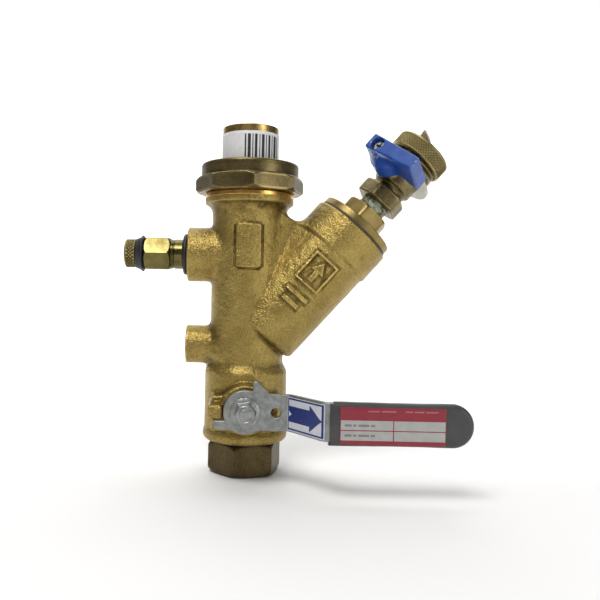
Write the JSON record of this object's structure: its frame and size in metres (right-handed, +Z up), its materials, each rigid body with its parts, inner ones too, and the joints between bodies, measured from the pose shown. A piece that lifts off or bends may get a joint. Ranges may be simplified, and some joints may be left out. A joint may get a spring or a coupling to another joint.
{
  "type": "strainer ball valve",
  "caption": "Brass combination valve: quarter-turn ball shut-off, Y strainer branch, union end, pressure test port and capped drain valve.",
  "frame": {"origin": "centre of the bottom port's face, on the pipe axis", "axes": "+Z up the pipe axis towards the union end, +X towards the strainer branch and the closed lever's grip, -Y towards the side the lever is on"},
  "size_m": [0.1628, 0.0827, 0.1744],
  "materials": {
    "cast_brass": "sand-cast, fine grain, dull yellow-brown with darker recesses",
    "nut_brass": "forged and lightly turned, dull olive brass",
    "machined_brass": "turned, satin",
    "test_brass": "turned, polished",
    "rubber": "moulded, matt black",
    "ptfe": "smooth, waxy white",
    "ball_chrome": "plated and polished",
    "lever_steel": "zinc-plated stamped steel, slightly mottled",
    "screw_steel": "bright zinc plate",
    "grip_vinyl": "dipped grey vinyl, satin",
    "flow_label": "white printed film with a blue border and arrow",
    "spec_label": "red and white printed film, slightly wrinkled",
    "tail_label": "white film with plain black bars",
    "screen_steel": "perforated stainless sheet",
    "thread_sealant": "dried greenish-white paste",
    "strap_nylon": "translucent natural nylon",
    "handle_blue": "blue enamel, glossy with light wear"
  },
  "bodies": {
    "valve": {"valve_body": "cast_brass", "end_connector": "cast_brass", "body_seal": "rubber", "lower_seat": "ptfe", "upper_seat": "ptfe", "thrust_washer": "ptfe", "stem_packing": "ptfe", "gland_nut": "machined_brass", "test_port_body": "test_brass", "test_port_core": "rubber", "core_retainer": "test_brass", "test_base_ring": "rubber", "test_strap": "rubber"},
    "main_lever": {"main_ball": "ball_chrome", "main_stem": "machined_brass", "stem_seal": "rubber", "lever": "lever_steel", "lever_grip": "grip_vinyl", "lever_screw": "screw_steel", "flow_label": "flow_label", "spec_label": "spec_label"},
    "tail": {"union_tail": "machined_brass", "union_seal": "rubber", "tail_label": "tail_label"},
    "nut": {"union_nut": "nut_brass"},
    "screen": {"strainer_screen": "screen_steel", "strainer_gasket": "rubber"},
    "strainer_cap": {"strainer_cap": "machined_brass", "thread_sealant": "thread_sealant", "drain_body": "machined_brass", "drain_seats": "ptfe", "drain_outlet": "machined_brass", "drain_gland": "machined_brass", "hose_strap": "strap_nylon"},
    "drain_handle": {"drain_ball": "ball_chrome", "drain_stem": "machined_brass", "drain_stem_seal": "rubber", "drain_handle": "handle_blue", "drain_handle_screw": "screw_steel"},
    "strap_end": {"hose_strap_end": "strap_nylon"},
    "hose_cap": {"hose_cap": "machined_brass", "hose_washer": "rubber"},
    "cap_ring": {"test_cap_ring": "rubber"},
    "test_cap": {"test_cap": "test_brass", "test_cap_gasket": "rubber"}
  },
  "joints": [
    {"name": "main_lever_turn", "type": "hinge", "parent": "valve", "child": "main_lever", "pos_m": [0, 0, 0.0354], "axis": [0, -1, 0], "range_deg": [0, 90]},
    {"name": "tail_slide", "type": "slide", "parent": "valve", "child": "tail", "axis": [0, 0, 1], "range_m": [0, 0.0061]},
    {"name": "nut_turn", "type": "hinge", "parent": "tail", "child": "nut", "pos_m": [0, 0, 0.14], "axis": [0, 0, 1], "range_deg": [0, 1440]},
    {"name": "screen_slide", "type": "slide", "parent": "valve", "child": "screen", "axis": [0.6593, 0, 0.7518], "range_m": [0, 0.0151]},
    {"name": "strainer_cap_turn", "type": "hinge", "parent": "screen", "child": "strainer_cap", "pos_m": [0.05275, 0, 0.12345], "axis": [0.6593, 0, 0.7518], "range_deg": [0, 3600]},
    {"name": "drain_handle_turn", "type": "hinge", "parent": "strainer_cap", "child": "drain_handle", "pos_m": [0.0755, 0, 0.14939], "axis": [0.4833, 0.766, -0.4238], "range_deg": [0, 90]},
    {"name": "strap_slide", "type": "slide", "parent": "strainer_cap", "child": "strap_end", "axis": [0.6593, 0, 0.7518], "range_m": [0, 0.0067]},
    {"name": "hose_cap_turn", "type": "hinge", "parent": "strap_end", "child": "hose_cap", "pos_m": [0.08571, 0, 0.16104], "axis": [0.6593, 0, 0.7518], "range_deg": [0, 1080]},
    {"name": "cap_ring_slide", "type": "slide", "parent": "valve", "child": "cap_ring", "axis": [-1, 0, 0], "range_m": [0, 0.0051]},
    {"name": "test_cap_turn", "type": "hinge", "parent": "cap_ring", "child": "test_cap", "pos_m": [-0.0579, 0, 0.1092], "axis": [-1, 0, 0], "range_deg": [0, 1800]}
  ],
  "couplings": [
    {"joint": "tail_slide", "follows": "nut_turn", "m_per_rad": 0.00023873},
    {"joint": "screen_slide", "follows": "strainer_cap_turn", "m_per_rad": 0.00023873},
    {"joint": "strap_slide", "follows": "hose_cap_turn", "m_per_rad": 0.00035153},
    {"joint": "cap_ring_slide", "follows": "test_cap_turn", "m_per_rad": 0.00015915}
  ]
}
